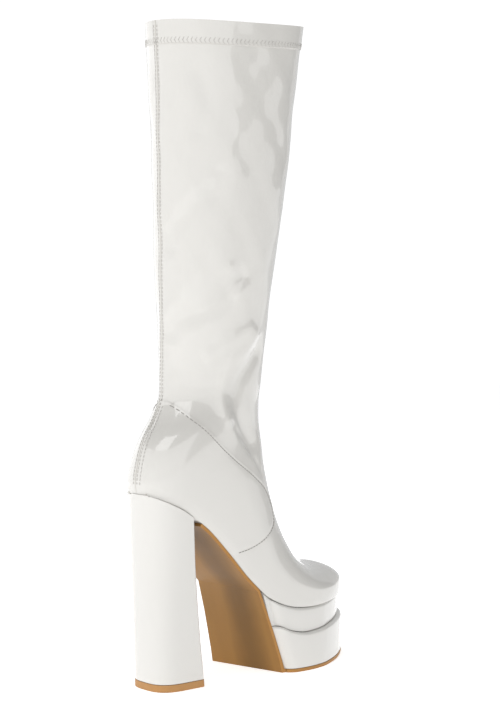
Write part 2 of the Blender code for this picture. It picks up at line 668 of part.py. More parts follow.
def build_outsole(collection):
    """The sheet under the waist, down the back of the platform and along its tread."""
    bed = sections_along(np.linspace(SHANK_START, SHANK_END, WAIST_STATIONS))
    line = np.stack([bed["back_along"], bed["back_z"]], axis=1)
    slope = table(PLATFORM_SLOPE)[::-1]
    corner = BACK_STATIONS - 1
    faces = [platform_ring(0.0, lambda a, z=z: np.full(len(a), z)) for z in slope[1:-1, 0]]
    tread = platform_ring(0.0, lambda a: tread_height(a) + SOLE_THICKNESS)
    rings = []
    for drop in (SOLE_THICKNESS, 0.0):
        sides = []
        for number, side in ((0, 1), (1, -1)):
            moved = offset_line(line, -(BED_GAP + drop))
            reach = bed["back_out"] + side * (bed["feather"] + SOLE_LEDGE)
            waist = np.stack([moved[:, 0], reach, moved[:, 1]], axis=1)
            down = np.array([face[number][corner] for face in faces])
            down += np.array([-SLOPE_GAP - SLOPE_NORMAL[0] * drop, 0.0, -SLOPE_NORMAL[1] * drop])
            flat = tread[number][corner:].copy()
            flat[:, 2] -= drop
            flat[0, 0] -= SLOPE_NORMAL[0] * drop + SLOPE_GAP
            sides.append(np.vstack([waist, down, flat]))
        rings.append(tuple(sides))
    return ring_solid("outsole", rings, "tan", collection)


def build():
    for obj in list(bpy.data.objects):
        bpy.data.objects.remove(obj)
    boot = new_collection("gogo_boot")
    cutters = new_collection("gogo_boot_cutters")
    upper = build_upper(boot)
    add_quarter(upper, cutters)
    add_boolean(upper, build_zip(boot, cutters), "DIFFERENCE")
    build_slider(boot, cutters)
    build_insole(boot)
    build_tier(
        "platform_bottom_tier", 0.0,
        lambda a: tread_height(a) + SOLE_THICKNESS + GAP, lambda a: tier_height(a) - GAP / 2, boot,
    )
    build_tier(
        "platform_top_tier", TIER_LEDGE,
        lambda a: tier_height(a) + GAP / 2, lambda a: bed_height(a) - BED_GAP, boot,
    )
    build_outsole(boot)
    build_heel("heel", TOP_PIECE_THICKNESS + GAP, HEEL_SEAT, boot, "patent", seat=True)
    build_heel("top_piece", 0.0, TOP_PIECE_THICKNESS, boot, "tan")
    bpy.context.view_layer.update()


build()
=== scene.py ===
"""Looks of the knee-high platform go-go boot: off-white patent, stitched seams, tan sole and dark zip pull.

Tables and sizes are in millimetres. A place on the boot is (along, out, z): "along" runs forward from
the back of the heel, "out" runs from the inner to the outer side, and z is the height.
"""

import math

import bmesh
import bpy
import numpy as np
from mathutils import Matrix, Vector
from mathutils.bvhtree import BVHTree


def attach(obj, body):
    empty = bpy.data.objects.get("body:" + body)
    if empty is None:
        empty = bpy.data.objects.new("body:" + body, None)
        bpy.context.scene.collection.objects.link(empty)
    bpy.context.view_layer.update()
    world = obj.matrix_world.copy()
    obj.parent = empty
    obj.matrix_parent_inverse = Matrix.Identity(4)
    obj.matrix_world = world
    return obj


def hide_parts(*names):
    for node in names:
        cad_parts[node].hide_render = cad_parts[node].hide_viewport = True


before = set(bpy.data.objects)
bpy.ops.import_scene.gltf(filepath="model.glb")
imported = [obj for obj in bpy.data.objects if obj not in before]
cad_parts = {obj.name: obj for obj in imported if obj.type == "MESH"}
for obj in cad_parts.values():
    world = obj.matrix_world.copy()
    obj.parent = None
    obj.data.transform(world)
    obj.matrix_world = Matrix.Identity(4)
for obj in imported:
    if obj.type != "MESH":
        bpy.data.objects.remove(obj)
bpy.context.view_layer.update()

MM = 0.001
CENTRE_ALONG = 109.8
CENTRE_OUT = 12.4

# Driving sizes, as the solids have them
BOOT_HEIGHT = 509.0
WALL = 1.8
GAP = 0.3
HEM_BAND = 18.0
HEM_STEP = 0.5
COLLAR_DIP = 3.0
LASTING_MARGIN = 12.0
QUARTER_STEP = 0.9
SOLE_THICKNESS = 2.6
TOP_PIECE_THICKNESS = 5.6
TIER_LEDGE = 3.2
TIER_EDGES = (0.5, 2.4)
HEEL_TURN = 4.0
HEEL_TOP = 150.0
HEEL_CORNER = 3.0
BREAST_WIDTH = 0.97
HEEL_EDGE = 0.5
TOP_PIECE_EDGE = 0.4
BED_GAP = 1.2 * GAP

SECTION_COLUMNS = (
    "back_along", "back_out", "back_z", "front_along", "front_out", "front_z",
    "twist", "outer", "inner", "feather", "widest", "low_n", "top_n",
)
SECTIONS = {
    "toe_tip": (217, -9, 58.5, 217, -9, 63, 0, 0, 0, 0, 0.50, 2, 2),
    "toe_front": (215.8, -9, 57, 215.3, -9, 66.5, 0, 10, 10, 8, 0.50, 2, 2),
    "toe_round": (213, -8.5, 56, 212, -8.5, 69.5, 0, 17.5, 17.5, 15, 0.48, 2, 2),
    "toe_cap": (209, -8, 55, 207.5, -8, 72, 0, 24, 23.5, 21, 0.45, 2, 2),
    "toe_box": (199, -7, 53, 196, -6.5, 76, 0, 33, 32, 31, 0.42, 2, 1.9),
    "vamp_low": (182, -4, 51, 176.5, -3, 79, 0, 40.3, 38, 38.5, 0.36, 1.9, 1.8),
    "ball": (163, -1, 50, 158, 0, 85.5, 0, 43.5, 41, 42, 0.32, 1.9, 1.75),
    "joint": (145, 1, 50, 143, 3, 98.5, 0, 43, 41, 41.5, 0.30, 1.9, 1.7),
    "vamp_high": (125, 3, 53, 132.5, 5.5, 119, 0, 41, 39, 39.5, 0.28, 1.8, 1.65),
    "instep": (105, 4, 62, 125, 8, 141, 0, 38.5, 37, 36.5, 0.30, 1.8, 1.6),
    "waist": (85, 4.5, 80, 119.5, 10, 160, 0, 36, 35, 33, 0.36, 1.8, 1.65),
    "waist_high": (65, 5, 103, 115.5, 11.5, 177, 0, 34.3, 34, 30, 0.40, 1.8, 1.7),
    "seat_front": (45, 5, 123, 113.5, 13, 190, 0, 32.8, 32.8, 28.5, 0.42, 1.9, 1.8),
    "seat": (25, 5, 137, 112.3, 13.5, 198.5, 0, 31.6, 31.6, 26.5, 0.42, 2, 1.9),
    "seat_back": (9, 5, 145.5, 111.8, 14, 203.5, 0.4, 30.8, 30.8, 22.3, 0.43, 2.1, 1.95),
    "heel_curve": (2.2, 5, 149, 111.6, 14.2, 206.5, 0.8, 30.4, 30.4, 15.5, 0.43, 2.3, 2),
    "heel_turn": (-0.4, 5, 150.3, 111.5, 14.4, 208.3, 1.2, 30.2, 30.2, 8.5, 0.44, 2.5, 2),
    "heel_corner": (-1.4, 5, 151.2, 111.5, 14.5, 209.8, 1.6, 30.1, 30.1, 0, 0.44, 2.6, 2),
    "heel_back": (-2.2, 5.3, 158, 111.5, 14.8, 212, 2.4, 29.9, 29.9, 0, 0.45, 2.55, 2),
    "counter_low": (-0.8, 6.3, 172, 111.5, 15.2, 216, 4.2, 29.5, 29.5, 0, 0.46, 2.35, 2),
    "counter": (6.6, 4.5, 190, 111.7, 15.7, 220.5, 6.8, 29.1, 29.1, 0, 0.48, 2.1, 2),
    "counter_high": (21, 0, 205, 112.2, 16.2, 226, 9.6, 29.3, 29.3, 0, 0.51, 1.95, 2),
    "ankle": (29.6, -3, 219, 112.7, 16.7, 231.5, 12, 30.2, 30.2, 0, 0.53, 1.9, 2),
    "shin_low": (31.2, -3.5, 240, 113.2, 17.5, 243, 13, 31.7, 31.7, 0, 0.53, 1.9, 2),
    "shin": (29, -1, 270, 113.7, 20, 270, 12.5, 34.5, 34.5, 0, 0.52, 2, 2.05),
    "calf_low": (27, 0.8, 303, 116.7, 21.5, 303, 12, 38, 38, 0, 0.51, 2.1, 2.1),
    "calf": (22.5, 4.8, 380, 126.5, 24.5, 380, 10.5, 43.5, 43.5, 0, 0.50, 2.1, 2.1),
    "calf_high": (18.5, 7.3, 458, 134, 26.5, 458, 8.5, 47.2, 47.2, 0, 0.50, 2.15, 2.15),
    "collar": (16.3, 8.5, 509, 138.9, 28.5, 509, 7, 50, 50, 0, 0.50, 2.15, 2.15),
}

# Edge of the bottom tier in plan: outer along and out, then inner along and out
PLATFORM_OUTLINE = {
    "back_middle": (116.5, 6, 116.5, 6),
    "back": (120.3, 30, 112.8, -16),
    "back_corner": (122, 40, 110.5, -30),
    "corner_turn": (126, 45, 111.8, -33.6),
    "corner_end": (133, 47, 119, -39),
    "joint": (148, 47.5, 138, -43.5),
    "ball": (165, 44, 160, -45),
    "toe_side": (186, 34.5, 183, -43),
    "toe_corner": (202, 23.5, 201, -37),
    "toe_turn": (213, 12.5, 213, -28),
    "toe_round": (219.5, 2, 219.5, -18),
    "toe_tip": (222, -8, 222, -8),
}

# Back face of the platform under the waist, at its outer edge: height and place along
PLATFORM_SLOPE = {
    "floor": (3.2, 123),
    "low": (12, 119.6),
    "middle": (27, 113.8),
    "high": (44, 107),
    "waist": (66, 100),
}
TREAD_RISE = {"flat": (165, 0), "ball": (185, 0.8), "toe": (226, 5)}
TIER_LINE = {
    "back": (100, 38),
    "corner": (115, 38),
    "side": (123, 34.5),
    "joint": (135, 31.3),
    "ball": (155, 30.7),
    "toe_side": (180, 32.8),
    "toe": (226, 36),
}
INNER_SLOPE = 0.55
SLOPE_FADE_END = 165.0
SLOPE_FADE_LENGTH = 43.0
SLOPE_FADE_POWER = 0.8
SLOPE_GAP = 0.5
SLOPE_NORMAL = (0.94, 0.34)
SHANK_START = 39.8
SHANK_END = 95.0
SOLE_LEDGE = 0.4
SEAT_GAP = 0.6

# Levels down the block heel: height, back, breast, middle, half width and how square the back is
HEEL_LEVELS = {
    "floor": (0, 1.6, 45, 9, 22.4, 2.9),
    "low": (40, 0.8, 41.5, 8.4, 22.6, 2.8),
    "middle": (80, -0.2, 38.5, 7.6, 23.4, 2.6),
    "high": (112, -1.2, 36.5, 6.8, 24.6, 2.5),
    "seat": (150, -2.3, 35, 6, 26, 2.4),
}

# The quarter's edge in the side view: along and z
QUARTER_EDGE = {
    "back": (-20, 223),
    "back_seam": (28, 221),
    "ankle": (36, 206.5),
    "side_high": (48, 193),
    "side": (68, 176),
    "side_low": (90, 160),
    "front_high": (103, 149.5),
    "front": (112, 134),
    "front_turn": (112, 121.5),
    "front_low": (102, 111),
    "under": (88, 103),
    "feather": (72, 98.5),
}

# Folds of the shaft and ankle: how far a ridge stands out, less than nothing in a trough, half of its
# breadth, and the path of its middle
FOLDS = {
    "ankle_ridge": (1.9, 4.6, [
        (92, 44, 278), (77, 43, 261), (63, 39, 246), (59, 36, 230), (60, 38, 212), (67, 40, 198),
    ]),
    "ankle_hollow": (-3.3, 6.5, [
        (98, 42, 262), (84, 42, 246), (74, 40, 231), (73, 38, 213), (82, 39, 196), (96, 38, 176),
    ]),
    "throat_crease": (-1.2, 2.2, [(63, 38, 211), (69, 40, 200), (86, 38, 181), (99, 37, 161)]),
    "long_trough": (-2.6, 7.5, [
        (73, 51, 322), (53, 44, 302), (42, 36, 290), (32, 23, 285), (29, 13, 279), (30, 9, 262),
    ]),
    "long_ridge": (2.0, 6.5, [(86, 45, 279), (69, 44, 270), (55, 38, 259), (42, 28, 250)]),
    "short_ridge": (1.4, 5.0, [(76, 51, 315), (66, 49, 306), (57, 46, 298)]),
    "upper_trough": (-2.3, 8.0, [
        (43, 49, 386), (35, 41, 375), (28, 32, 364), (24, 20, 352), (24, 14, 342), (25, 17, 328),
    ]),
    "upper_ridge": (1.2, 5.0, [(50, 45, 318), (57, 49, 321), (66, 51, 325)]),
    "calf_dent": (-1.4, 7.0, [(25, 40, 478), (30, 45, 462), (34, 47, 446), (30, 44, 430), (27, 39, 416)]),
    "calf_dent_low": (-1.2, 7.0, [(42, 50, 404), (44, 50, 392), (40, 46, 378)]),
    "inner_trough": (-1.2, 8.0, [(90, -18, 232), (72, -22, 240), (54, -22, 256)]),
    "inner_hollow": (-1.4, 8.0, [(98, -12, 205), (84, -16, 214), (66, -20, 216)]),
    "inner_ridge": (0.9, 7.0, [(96, -17, 252), (76, -22, 262), (56, -22, 276)]),
    "front_hollow": (-1.2, 8.0, [(112, 22, 236), (110, 14, 224), (108, 4, 216)]),
    "front_notch": (-1.6, 3.0, [(104, 36, 214), (112, 28, 213), (116, 18, 212), (116, 6, 212)]),
    "instep_trough": (-0.8, 9.0, [(119, 26, 150), (124, 12, 143), (119, -8, 150)]),
}
FOLD_TAPER = 10.0
FOLD_END = 0.15

# Soft waves of the shaft: how high, length up the leg, how many go round it, and where they start
WAVES = {
    "broad": (0.30, 150.0, 5.0, 0.4),
    "middle": (0.20, 70.0, -8.0, 1.9),
    "slanted": (0.15, 48.0, 9.0, 4.1),
    "fine": (0.07, 30.0, -14.0, 2.6),
}
WAVES_START = 215.0
WAVES_FULL = 300.0
WAVE_AXIS = 0.6

# Zip on the inner side
ZIP_BOTTOM = 192.0
ZIP_SLOT = 9.0
SLIDER_HEIGHT = 488.0
TEETH_START = 3.0
TEETH_END = 4.0
TOOTH_PITCH = 1.5
TOOTH_RADIUS = 0.38
TOOTH_REACH = 2.4
TOOTH_OVERLAP = 0.5
TOOTH_SINK = 0.05
TOOTH_SLANT = 0.15

# Relief of the seams. A ridge has a height, a distance from its line and a width, a groove a depth and
# a width, and a drawn line of painted seam shadow a width and a strength.
BACK_SEAM_START = 152.0
BACK_SEAM_FADE = 6.0
BACK_SEAM_RIDGE = (0.22, 2.8, 1.8)
BACK_SEAM_GROOVE = (0.45, 0.8)
BACK_SEAM_SHADOW = (0.6, 1.0)
HEM_STEP_WIDTH = 0.7
HEM_SHADOW = (0.5, 0.6)
STITCH_GROOVE = (0.16, 1.3)
QUARTER_FULL = 8.0
QUARTER_LEAST = 0.2

# Stitches: how far rows lie from their edge or seam, how far apart the stitches are and how long
STITCH_INSET = 2.0
STITCH_SHARES = (0.1, 0.72)
STITCH_RISE = 0.15
THREAD_RADIUS = 0.34
QUARTER_PITCH = 2.6
QUARTER_ROW_START = 20.0
QUARTER_ROW_OUT = 10.0
BACK_PITCH = 3.0
BACK_ROWS = (-2.2, 2.2)
COUNTER_ROW = 5.2
COUNTER_TOP = 219.0
HEM_THREAD_RADIUS = 0.24
HEM_PITCH = 3.4
HEM_ROWS = {"low": (1.8, 1.1), "high": (5.0, -1.1)}
HEM_STITCH_HALF = 0.75
HEM_STITCH_RISE = 0.03
HEM_ZIP_GAP = 7.0

# Painted shadow of the heel: a dark band up the middle of the sole, in metres across it
SOLE_SHADOW_PLACE = -0.004
SOLE_SHADOW_WIDTH = 0.020

# How far the rows round the heel seat are evened out, and how the columns near the feather edge stay
EASE_FADE = 12.0
EASE_ROUNDS = 60
EASE_KEPT = 2
EASE_COLUMNS = 8.0

# How finely the shapes are drawn
SIDE_SAMPLES = 240
FOLD_POINTS = 24
PLATFORM_STATIONS = 166
BACK_STATIONS = 31
HEEL_STATIONS = 44
SHANK_STATIONS = 40

# Camera, in metres, and what it looks at
CAMERA_PLACE = (-1.1410, 1.0664, 0.3524)
CAMERA_TARGET = (0.0, 0.0, 0.2505)
CAMERA_LENS = 99.5

# Soft light: the world's strength, then curved panels round the boot. Each runs between two turns in
# degrees from the camera towards the right, and from a low to a high edge, with its own strength.
WORLD_LIGHT = 0.40
FLOOR_GLOW = 0.66
FLOOR_REACH = 6.0
WALL_GLOW = 1.05
WALL_REACH = 3.0
WALL_HEIGHT = 4.0
PANEL_COLUMNS = 49
SOFTBOX_REACH = 1.45
SOFTBOXES = {
    "panel_front": (-106.0, 38.0, 0.12, 1.3, 1.16),
    "panel_behind": (-168.0, -118.0, 0.05, 1.5, 1.3),
    "panel_high": (-58.0, -12.0, 1.34, 3.0, 1.9),
    "panel_far": (136.0, 204.0, 0.0, 1.9, 0.66),
}


def to_world(points):
    """Places on the boot, in millimetres, as points in metres."""
    points = np.asarray(points, float)
    along, out, z = points[..., 0], points[..., 1], points[..., 2]
    return np.stack([(CENTRE_OUT - out) * MM, (CENTRE_ALONG - along) * MM, z * MM], axis=-1)


def to_boot(points):
    points = np.asarray(points, float) / MM
    return np.stack([CENTRE_ALONG - points[..., 1], CENTRE_OUT - points[..., 0], points[..., 2]], axis=-1)


def smooth(knots, values, at):
    """A smooth curve through the rows of values, read at the given knots."""
    knots = np.asarray(knots, float)
    values = np.asarray(values, float)
    at = np.asarray(at, float)
    step = np.diff(knots)[:, None]
    slope = np.diff(values, axis=0) / step
    tangent = np.vstack([slope[:1], slope[:1], slope[1:]])
    tangent[1:-1] = (step[1:] * slope[:-1] + step[:-1] * slope[1:]) / (step[1:] + step[:-1])
    first = np.clip(np.searchsorted(knots, at, side="right") - 1, 0, len(knots) - 2)
    t = ((at - knots[first]) / step[first, 0])[:, None]
    reach = step[first]
    start = (1 + 2 * t) * (1 - t) ** 2 * values[first] + t * (1 - t) ** 2 * reach * tangent[first]
    end = t * t * (3 - 2 * t) * values[first + 1] - t * t * (1 - t) * reach * tangent[first + 1]
    return start + end


def table(rows):
    return np.array(list(rows.values()), float)


def run_along(line):
    """Distance along a line of points, at each of them."""
    return np.concatenate([[0.0], np.cumsum(np.linalg.norm(np.diff(line, axis=0), axis=1))])


def read(rows, at):
    values = table(rows)
    return smooth(values[:, 0], values[:, 1:], np.clip(at, values[0, 0], values[-1, 0]))[:, 0]


SECTION_VALUES = table(SECTIONS)
SECTION_NAMES = list(SECTIONS)
RUN_COLUMNS = [
    SECTION_COLUMNS.index(name)
    for name in ("back_along", "back_z", "front_along", "front_z", "outer", "feather")
]
SECTION_KNOTS = run_along(SECTION_VALUES[:, RUN_COLUMNS])


def knot_of(name):
    return SECTION_KNOTS[SECTION_NAMES.index(name)]


def sections_at(knots):
    """Sections at the knots: each column, and the low and top ends as places."""
    values = smooth(SECTION_KNOTS, SECTION_VALUES, knots)
    columns = {name: values[:, i] for i, name in enumerate(SECTION_COLUMNS)}
    for name in ("outer", "inner", "feather"):
        columns[name] = np.maximum(columns[name], 0.0)
    columns["low"], columns["top"] = values[:, :3], values[:, 3:6]
    return columns


def across_section(twist):
    """The direction from the inner to the outer side of a section turned by its twist."""
    turn = math.radians(twist)
    return np.array([-math.sin(turn), math.cos(turn), 0.0])


def collar_share(knot):
    """How near a knot is to the collar: 0 up to the calf, 1 at the collar."""
    calf = knot_of("calf")
    return np.clip((knot - calf) / (SECTION_KNOTS[-1] - calf), 0.0, 1.0)


def side_line(width, feather, length, widest, low_n, top_n, shares):
    """One side of a section from the feather edge to the top, read at shares of its length."""
    turn = np.linspace(0.0, math.pi / 2, SIDE_SAMPLES)
    low_across = feather + (width - feather) * np.sin(turn) ** (2 / low_n)
    low_share = widest * (1 - np.cos(turn) ** (2 / low_n))
    top_across = width * np.cos(turn) ** (2 / top_n)
    top_share = widest + (1 - widest) * np.sin(turn) ** (2 / top_n)
    across = np.concatenate([low_across, top_across[1:]])
    share = np.concatenate([low_share, top_share[1:]])
    run = np.concatenate([[0.0], np.cumsum(np.hypot(np.diff(across), np.diff(share) * length))])
    at = run[-1] * shares
    return np.interp(at, run, across), np.interp(at, run, share)


def upper_grid(knots, shares):
    """Rows of points round the upper, from the outer lasting margin over the top to the inner one."""
    rows = sections_at(knots)
    grid = []
    for i in range(len(knots)):
        row = {name: values[i] for name, values in rows.items()}
        low, top = row["low"], row["top"]
        across = across_section(row["twist"])
        length = np.linalg.norm(top - low)
        halves = []
        for side, width in ((1, row["outer"]), (-1, row["inner"])):
            feather = min(row["feather"], width)
            reach, share = side_line(
                width, feather, length, row["widest"], row["low_n"], row["top_n"], shares,
            )
            reach = np.concatenate([[max(reach[0] - LASTING_MARGIN, 0.0)], reach])
            share = np.concatenate([[0.0], share])
            halves.append(low + share[:, None] * (top - low) + side * reach[:, None] * across)
        line = np.vstack([halves[0], halves[1][-2::-1]])
        outward = np.clip((line - (low + top) / 2) @ across / max(row["outer"], 1.0), 0.0, 1.0)
        line[:, 2] -= COLLAR_DIP * collar_share(knots[i])**2 * outward**2
        grid.append(line)
    return np.array(grid)


def eased(grid, knots):
    """Evens out the rows round the heel seat, away from the feather edge, so that no crease shows."""
    columns = np.arange(grid.shape[1])
    near = np.minimum(columns, columns[::-1])
    by_column = np.clip((near - EASE_KEPT) / EASE_COLUMNS, 0.0, 1.0)
    start, end = knot_of("seat_front"), knot_of("ankle")
    by_row = np.clip(np.minimum(knots - start, end - knots) / EASE_FADE, 0.0, 1.0)
    weight = (by_row[:, None] * by_column[None, :])[:, :, None]
    for _ in range(EASE_ROUNDS):
        middle = (grid[:-2] + grid[2:]) / 2
        grid[1:-1] += 0.5 * weight[1:-1] * (middle - grid[1:-1])
    return grid


def spread(start, end, count):
    return np.linspace(knot_of(start), knot_of(end), count)[1:]


HEM_KNOT = np.interp(BOOT_HEIGHT - HEM_BAND, SECTION_VALUES[-4:, 2], SECTION_KNOTS[-4:])
UPPER_KNOTS = np.sort(np.concatenate([
    [0.0],
    spread("toe_tip", "toe_box", 26),
    spread("toe_box", "seat_front", 84),
    spread("seat_front", "heel_corner", 40),
    spread("heel_corner", "ankle", 56),
    spread("ankle", "shin", 28),
    spread("shin", "collar", 84),
    HEM_KNOT + np.linspace(-1.2, 1.2, 7),
]))
SIDE_SHARES = np.concatenate([np.linspace(0.0, 0.05, 9)[:-1], np.linspace(0.05, 1.0, 60)])
EVEN_SHARES = np.linspace(0.0, 1.0, 60)


class Finish:
    """One material: its Principled shader, and one method that adds any other node."""

    def __init__(self, name, **settings):
        self.material = bpy.data.materials.new(name)
        self.material.use_nodes = True
        self.nodes = self.material.node_tree.nodes
        self.links = self.material.node_tree.links
        self.shader = self.nodes["Principled BSDF"]
        self.use(**settings)

    def put(self, node, key, value):
        socket = node.inputs[key]
        if isinstance(value, Mixed):
            self.links.new(value.socket, socket)
        elif socket.type == "RGBA":
            socket.default_value = (*value, 1.0)
        else:
            socket.default_value = value

    def node(self, kind, settings, inputs, output=0):
        node = self.nodes.new("ShaderNode" + kind)
        for name, value in settings.items():
            setattr(node, name, value)
        for key, value in inputs.items():
            self.put(node, key, value)
        return Mixed(self, node.outputs[output])

    def place(self):
        return self.node("TexCoord", {}, {}, "Object")

    def noise(self, scale, detail=3.0, roughness=0.5, vector=None):
        inputs = {"Scale": scale, "Detail": detail, "Roughness": roughness}
        inputs["Vector"] = vector or self.place()
        return self.node("TexNoise", {}, inputs)

    def stretched(self, scale):
        return self.node("Mapping", {}, {"Vector": self.place(), "Scale": Vector(scale)})

    def attribute(self, name):
        return self.node("Attribute", {"attribute_name": name}, {}, "Fac")

    def shades(self, mask, first, second):
        return self.node("Mix", {"data_type": "RGBA"}, {0: mask, 6: first, 7: second}, 2)

    def bump(self, height, distance, strength=1.0, below=None):
        inputs = {"Height": height, "Distance": distance, "Strength": strength}
        if below is not None:
            inputs["Normal"] = below
        return self.node("Bump", {}, inputs)

    def use(self, **inputs):
        for socket, value in inputs.items():
            self.put(self.shader, socket.replace("_", " "), value)
        return self.material


class Mixed:
    """A shader value that takes plus and times, and can be taken from a number."""

    def __init__(self, finish, socket):
        self.finish = finish
        self.socket = socket

    def maths(self, operation, first, second, clamp=False):
        settings = {"operation": operation, "use_clamp": clamp}
        return self.finish.node("Math", settings, {0: first, 1: second})

    def __add__(self, other):
        return self.maths("ADD", self, other)

    __radd__ = __add__

    def __mul__(self, other):
        return self.maths("MULTIPLY", self, other)

    __rmul__ = __mul__

    def __rsub__(self, other):
        return self.maths("SUBTRACT", other, self)

    def clamped(self):
        return self.maths("MULTIPLY", self, 1.0, clamp=True)


def patent_finish(name, tone, wrinkles):
    """Off-white patent: a glossy film over a smooth ground, a little dull in its seams, where painted
    shadow makes it darker and warm.
    """
    finish = Finish(name, Coat_Weight=1.0, Coat_Roughness=0.02, Coat_IOR=1.75, IOR=1.5)
    cloud = finish.noise(9.0, 2.0)
    worn = finish.noise(38.0, 4.0, 0.6)
    seam_shadow = finish.attribute("seam_shadow")
    shade = finish.shades(cloud, tone, tuple(0.955 * part for part in tone))
    # Painted shadow: the seam attribute darkens and warms the colour along the seams and the hem's edge.
    seam_shadow_tone = tuple(part * scale for part, scale in zip(tone, (0.62, 0.60, 0.56)))
    colour = finish.shades((seam_shadow * 0.85).clamped(), shade, seam_shadow_tone)
    peel = finish.bump(finish.noise(420.0, 2.0), 0.00005, 0.35)
    waves = finish.bump(finish.noise(24.0, 2.0, 0.45), 0.0012, wrinkles, peel)
    return finish.use(
        Base_Color=colour, Roughness=0.15 + 0.09 * worn + 0.25 * seam_shadow, Normal=waves,
    )


def tan_finish(name, light, dark, gloss):
    """Tan sheet with a faint streaked grain and rubbed darker clouds."""
    finish = Finish(name, Specular_IOR_Level=0.35)
    streak = finish.noise(70.0, 5.0, 0.6, finish.stretched((1.0, 0.12, 0.35)))
    cloud = finish.noise(14.0, 3.0)
    colour = finish.shades((streak * 0.45 + cloud * 0.55).clamped(), light, dark)
    grain = finish.bump(finish.noise(900.0, 3.0), 0.00008, 0.5)
    return finish.use(Base_Color=colour, Roughness=gloss + 0.12 * cloud, Normal=grain)


def sole_finish(name, light, dark):
    """Brown sheet under the waist with painted shade: lighter towards the inner side, with a dark band up
    its middle as the heel's shadow.
    """
    finish = Finish(name, Specular_IOR_Level=0.25)
    across = finish.node("SeparateXYZ", {}, {"Vector": finish.place()})
    streak = finish.noise(55.0, 4.0, 0.55, finish.stretched((1.0, 0.25, 0.25)))
    cloud = finish.noise(16.0, 3.0)
    # Painted shadow: a dark band up the middle of the sole where the heel shades it, mixed with the streaks
    # and clouds.
    shift = (across + SOLE_SHADOW_PLACE + 0.012 * cloud) * (1.0 / SOLE_SHADOW_WIDTH)
    heel_shadow = (1.0 - shift * shift).clamped()
    mask = (heel_shadow * 0.62 + streak * 0.35 + cloud * 0.15).clamped()
    grain = finish.bump(finish.noise(900.0, 3.0), 0.00008, 0.5)
    colour = finish.shades(mask, light, dark)
    return finish.use(Base_Color=colour, Roughness=0.36 + 0.15 * cloud, Normal=grain)


def cloth_finish(name, tone, scale):
    """Woven tape or lining: crossed threads over a soft ground."""
    finish = Finish(name, Roughness=0.85, Sheen_Weight=0.3)
    inputs = {"Vector": finish.stretched((scale,) * 3), "Scale": 1.0}
    upright = finish.node("TexWave", {"bands_direction": "Z"}, inputs, "Fac")
    weave = upright * finish.node("TexWave", {"bands_direction": "Y"}, inputs, "Fac")
    colour = finish.shades(weave, tuple(0.86 * part for part in tone), tone)
    return finish.use(Base_Color=colour, Normal=finish.bump(weave, 0.00012, 0.6))


def metal_finish(name, tone):
    """Dark gunmetal with fine rubbed marks."""
    finish = Finish(name, Metallic=0.9)
    rubbed = finish.noise(260.0, 4.0, 0.6, finish.stretched((1.0, 1.0, 0.2)))
    colour = finish.shades(rubbed, tone, tuple(1.7 * part for part in tone))
    marks = finish.bump(rubbed, 0.00004, 0.4)
    return finish.use(Base_Color=colour, Roughness=0.24 + 0.16 * rubbed, Normal=marks)


def thread_finish(name, tone):
    finish = Finish(name, Sheen_Weight=0.2)
    twist = finish.noise(1500.0, 2.0)
    colour = finish.shades(twist, tone, tuple(0.8 * part for part in tone))
    strands = finish.bump(twist, 0.00005, 0.5)
    return finish.use(Base_Color=colour, Roughness=0.5 + 0.2 * twist, Normal=strands)


def glow_finish(name, strength):
    finish = Finish(name, Base_Color=(0.0, 0.0, 0.0), Roughness=1.0)
    return finish.use(Emission_Color=(1.0, 1.0, 1.0), Emission_Strength=strength)


PATENT = patent_finish("patent", (0.70, 0.685, 0.65), 0.20)
PATENT_COVER = patent_finish("patent_cover", (0.74, 0.725, 0.69), 0.06)
SOLE_TAN = sole_finish("sole_tan", (0.36, 0.18, 0.044), (0.16, 0.08, 0.019))
SOLE_EDGE = tan_finish("sole_edge", (0.52, 0.26, 0.07), (0.40, 0.19, 0.05), 0.42)
TOP_PIECE_TAN = tan_finish("top_piece_tan", (0.56, 0.30, 0.11), (0.44, 0.22, 0.075), 0.42)
LINING = cloth_finish("lining", (0.72, 0.69, 0.63), 5200.0)
INSOLE_CLOTH = cloth_finish("insole_cloth", (0.66, 0.58, 0.47), 4200.0)
TAPE_CLOTH = cloth_finish("tape_cloth", (0.78, 0.77, 0.74), 6500.0)
GUNMETAL = metal_finish("gunmetal", (0.055, 0.055, 0.06))
TEETH_NYLON = thread_finish("teeth_nylon", (0.76, 0.75, 0.72))
SEAM_THREAD = thread_finish("seam_thread", (0.38, 0.365, 0.34))
HEM_THREAD = thread_finish("hem_thread", (0.56, 0.54, 0.51))


def linked(name, data):
    """A new object with this data, in the scene."""
    made = bpy.data.objects.new(name, data)
    bpy.context.scene.collection.objects.link(made)
    return made


def mesh_piece(name, points, faces, material, closed=True):
    """A piece from millimetre places, its doubles merged and its faces turned outwards."""
    mesh = bpy.data.meshes.new(name)
    mesh.from_pydata(to_world(points).tolist(), [], faces)
    work = bmesh.new()
    work.from_mesh(mesh)
    bmesh.ops.remove_doubles(work, verts=work.verts, dist=2e-6)
    bmesh.ops.dissolve_degenerate(work, edges=work.edges, dist=2e-6)
    if closed:
        bmesh.ops.recalc_face_normals(work, faces=work.faces)
    work.to_mesh(mesh)
    work.free()
    mesh.materials.append(material)
    return linked(name, mesh)


def smooth_faces(piece, angle):
    piece.data.shade_smooth()
    piece.data.set_sharp_from_angle(angle=math.radians(angle))


def applied(piece):
    """Makes the piece's modifiers part of its mesh."""
    graph = bpy.context.evaluated_depsgraph_get()
    mesh = bpy.data.meshes.new_from_object(piece.evaluated_get(graph))
    piece.modifiers.clear()
    piece.data = mesh


def finished(piece, slot, *nodes):
    """Rides the piece on the boot and hides the solids it stands for. The slot is not used."""
    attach(piece, "boot")
    if nodes:
        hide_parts(*nodes)
    return piece


